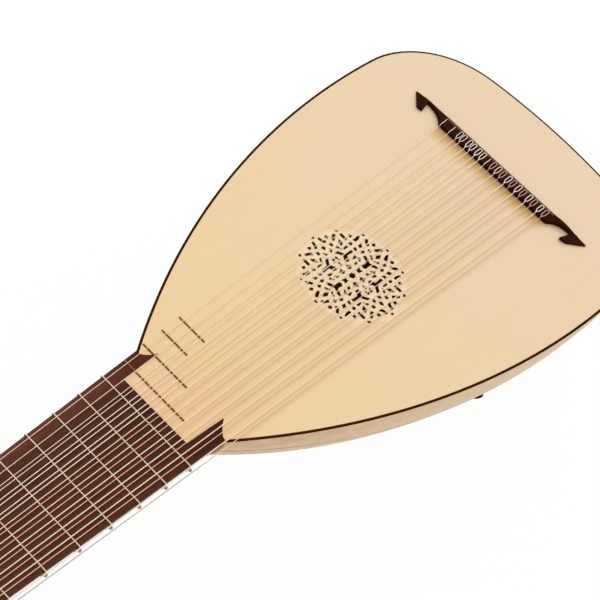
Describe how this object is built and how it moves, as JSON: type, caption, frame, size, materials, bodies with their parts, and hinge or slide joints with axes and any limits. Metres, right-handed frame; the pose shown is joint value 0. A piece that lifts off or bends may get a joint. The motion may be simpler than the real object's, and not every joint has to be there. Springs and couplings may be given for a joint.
{
  "type": "baroque lute",
  "caption": "Plucked lute with a ribbed round-backed bowl, carved rose, paired gut strings, tied frets, bent-back pegbox and turning pegs.",
  "frame": {"origin": "bottom centre of the bounding box, with the lute lying on its back", "axes": "+Y along the strings from the bridge to the pegbox, +Z out of the soundboard, +X towards the treble side"},
  "size_m": [0.32, 0.8604, 0.2097],
  "materials": {
    "spruce": "satin pale spruce with fine grain",
    "maple": "satin pale maple",
    "rosewood": "oiled dark reddish rosewood",
    "ebony": "polished dark hardwood",
    "lining_wood": "plain unfinished softwood",
    "bone": "polished bone",
    "gut": "pale gut",
    "string_pale": "pale synthetic gut",
    "string_amber": "translucent reddish gut"
  },
  "bodies": {
    "root": {"bowl": "maple", "edge_binding": "ebony", "soundboard": "spruce", "fingerboard": "rosewood", "neck": "rosewood", "neck_block": "lining_wood", "nut": "bone", "bridge": "rosewood", "pegbox": "rosewood", "end_clasp": "maple", "tail_strap_button": "ebony", "back_strap_button": "ebony", "string_01": "string_pale", "string_02": "string_pale", "string_03a": "string_pale", "string_03b": "string_pale", "string_04a": "string_pale", "string_04b": "string_pale", "string_05a": "string_pale", "string_05b": "string_pale", "string_06a": "string_pale", "string_06b": "string_amber", "string_07a": "string_pale", "string_07b": "string_amber", "string_08a": "string_pale", "string_08b": "string_amber", "string_09a": "string_pale", "string_09b": "string_amber", "string_10a": "string_pale", "string_10b": "string_amber", "string_11a": "string_pale", "string_11b": "string_amber"},
    "peg_01_body": {"peg_01": "ebony"},
    "peg_02_body": {"peg_02": "ebony"},
    "peg_03_body": {"peg_03": "ebony"},
    "peg_04_body": {"peg_04": "ebony"},
    "peg_05_body": {"peg_05": "ebony"},
    "peg_06_body": {"peg_06": "ebony"},
    "peg_07_body": {"peg_07": "ebony"},
    "peg_08_body": {"peg_08": "ebony"},
    "peg_09_body": {"peg_09": "ebony"},
    "peg_10_body": {"peg_10": "ebony"},
    "peg_11_body": {"peg_11": "ebony"},
    "peg_12_body": {"peg_12": "ebony"},
    "peg_13_body": {"peg_13": "ebony"},
    "peg_14_body": {"peg_14": "ebony"},
    "peg_15_body": {"peg_15": "ebony"},
    "peg_16_body": {"peg_16": "ebony"},
    "peg_17_body": {"peg_17": "ebony"},
    "peg_18_body": {"peg_18": "ebony"},
    "peg_19_body": {"peg_19": "ebony"},
    "peg_20_body": {"peg_20": "ebony"},
    "tied_fret_1_body": {"tied_fret_1": "gut"},
    "tied_fret_2_body": {"tied_fret_2": "gut"},
    "tied_fret_3_body": {"tied_fret_3": "gut"},
    "tied_fret_4_body": {"tied_fret_4": "gut"},
    "tied_fret_5_body": {"tied_fret_5": "gut"},
    "tied_fret_6_body": {"tied_fret_6": "gut"},
    "tied_fret_7_body": {"tied_fret_7": "gut"},
    "tied_fret_8_body": {"tied_fret_8": "gut"}
  },
  "joints": [
    {"name": "peg_01_turn", "type": "hinge", "parent": "root", "child": "peg_01_body", "pos_m": [-0.0083, 0.38364, 0.17088], "axis": [1, 0, 0], "continuous": true},
    {"name": "peg_02_turn", "type": "hinge", "parent": "root", "child": "peg_02_body", "pos_m": [-0.0083, 0.38547, 0.16267], "axis": [1, 0, 0], "continuous": true},
    {"name": "peg_03_turn", "type": "hinge", "parent": "root", "child": "peg_03_body", "pos_m": [-0.0083, 0.38729, 0.15446], "axis": [1, 0, 0], "continuous": true},
    {"name": "peg_04_turn", "type": "hinge", "parent": "root", "child": "peg_04_body", "pos_m": [-0.0083, 0.38911, 0.14626], "axis": [1, 0, 0], "continuous": true},
    {"name": "peg_05_turn", "type": "hinge", "parent": "root", "child": "peg_05_body", "pos_m": [-0.0083, 0.39093, 0.13805], "axis": [1, 0, 0], "continuous": true},
    {"name": "peg_06_turn", "type": "hinge", "parent": "root", "child": "peg_06_body", "pos_m": [-0.0083, 0.39275, 0.12984], "axis": [1, 0, 0], "continuous": true},
    {"name": "peg_07_turn", "type": "hinge", "parent": "root", "child": "peg_07_body", "pos_m": [-0.0083, 0.39457, 0.12163], "axis": [1, 0, 0], "continuous": true},
    {"name": "peg_08_turn", "type": "hinge", "parent": "root", "child": "peg_08_body", "pos_m": [-0.0083, 0.39639, 0.11342], "axis": [1, 0, 0], "continuous": true},
    {"name": "peg_09_turn", "type": "hinge", "parent": "root", "child": "peg_09_body", "pos_m": [-0.0083, 0.39822, 0.10521], "axis": [1, 0, 0], "continuous": true},
    {"name": "peg_10_turn", "type": "hinge", "parent": "root", "child": "peg_10_body", "pos_m": [-0.0083, 0.40004, 0.097], "axis": [1, 0, 0], "continuous": true},
    {"name": "peg_11_turn", "type": "hinge", "parent": "root", "child": "peg_11_body", "pos_m": [-0.0083, 0.40186, 0.0888], "axis": [1, 0, 0], "continuous": true},
    {"name": "peg_12_turn", "type": "hinge", "parent": "root", "child": "peg_12_body", "pos_m": [-0.0083, 0.40368, 0.08059], "axis": [1, 0, 0], "continuous": true},
    {"name": "peg_13_turn", "type": "hinge", "parent": "root", "child": "peg_13_body", "pos_m": [-0.0083, 0.4055, 0.07238], "axis": [1, 0, 0], "continuous": true},
    {"name": "peg_14_turn", "type": "hinge", "parent": "root", "child": "peg_14_body", "pos_m": [-0.0083, 0.40732, 0.06417], "axis": [1, 0, 0], "continuous": true},
    {"name": "peg_15_turn", "type": "hinge", "parent": "root", "child": "peg_15_body", "pos_m": [-0.0083, 0.40914, 0.05596], "axis": [1, 0, 0], "continuous": true},
    {"name": "peg_16_turn", "type": "hinge", "parent": "root", "child": "peg_16_body", "pos_m": [-0.0083, 0.41097, 0.04775], "axis": [1, 0, 0], "continuous": true},
    {"name": "peg_17_turn", "type": "hinge", "parent": "root", "child": "peg_17_body", "pos_m": [-0.0083, 0.41279, 0.03955], "axis": [1, 0, 0], "continuous": true},
    {"name": "peg_18_turn", "type": "hinge", "parent": "root", "child": "peg_18_body", "pos_m": [-0.0083, 0.41461, 0.03134], "axis": [1, 0, 0], "continuous": true},
    {"name": "peg_19_turn", "type": "hinge", "parent": "root", "child": "peg_19_body", "pos_m": [-0.0083, 0.41643, 0.02313], "axis": [1, 0, 0], "continuous": true},
    {"name": "peg_20_turn", "type": "hinge", "parent": "root", "child": "peg_20_body", "pos_m": [-0.0083, 0.41825, 0.01492], "axis": [1, 0, 0], "continuous": true},
    {"name": "tied_fret_1_slide", "type": "slide", "parent": "root", "child": "tied_fret_1_body", "axis": [0, 1, 0], "range_m": [-0.003, 0.003]},
    {"name": "tied_fret_2_slide", "type": "slide", "parent": "root", "child": "tied_fret_2_body", "axis": [0, 1, 0], "range_m": [-0.003, 0.003]},
    {"name": "tied_fret_3_slide", "type": "slide", "parent": "root", "child": "tied_fret_3_body", "axis": [0, 1, 0], "range_m": [-0.003, 0.003]},
    {"name": "tied_fret_4_slide", "type": "slide", "parent": "root", "child": "tied_fret_4_body", "axis": [0, 1, 0], "range_m": [-0.003, 0.003]},
    {"name": "tied_fret_5_slide", "type": "slide", "parent": "root", "child": "tied_fret_5_body", "axis": [0, 1, 0], "range_m": [-0.003, 0.003]},
    {"name": "tied_fret_6_slide", "type": "slide", "parent": "root", "child": "tied_fret_6_body", "axis": [0, 1, 0], "range_m": [-0.003, 0.003]},
    {"name": "tied_fret_7_slide", "type": "slide", "parent": "root", "child": "tied_fret_7_body", "axis": [0, 1, 0], "range_m": [-0.003, 0.003]},
    {"name": "tied_fret_8_slide", "type": "slide", "parent": "root", "child": "tied_fret_8_body", "axis": [0, 1, 0], "range_m": [-0.003, 0.003]}
  ]
}
